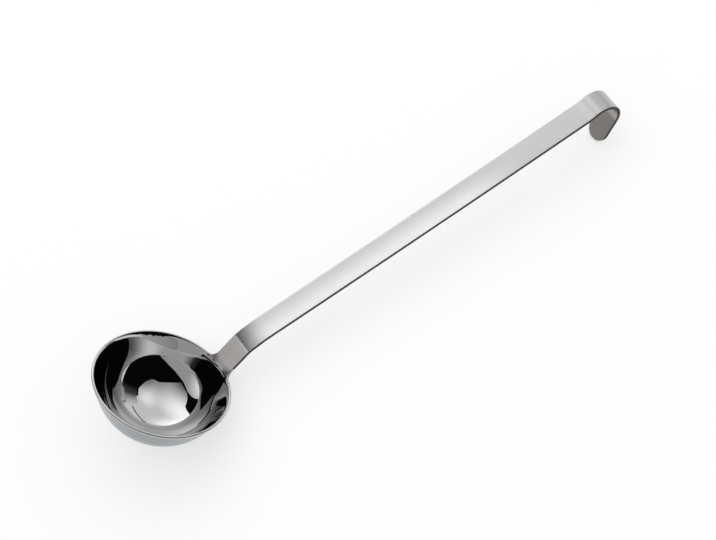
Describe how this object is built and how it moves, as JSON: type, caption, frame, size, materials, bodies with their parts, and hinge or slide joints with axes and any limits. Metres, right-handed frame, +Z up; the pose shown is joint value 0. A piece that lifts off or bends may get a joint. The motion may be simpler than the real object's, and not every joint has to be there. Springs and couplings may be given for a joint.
{
  "type": "soup ladle",
  "caption": "All-metal soup ladle: a deep round bowl with flared sides, a cranked flat strip handle, and a hanging hook at its end.",
  "frame": {"origin": "centre of the ladle's box, at its base: the table that the bowl's bottom and the tail of the hook touch", "axes": "+X along the handle from the bowl to the hook, +Y across the handle, +Z up from the table"},
  "size_m": [0.3863, 0.09, 0.0608],
  "materials": {
    "polished_steel": "polished",
    "blended_steel": "satin",
    "satin_steel": "satin"
  },
  "bodies": {
    "root": {"bowl": "polished_steel", "root_weld": "blended_steel", "handle": "satin_steel"}
  },
  "joints": []
}
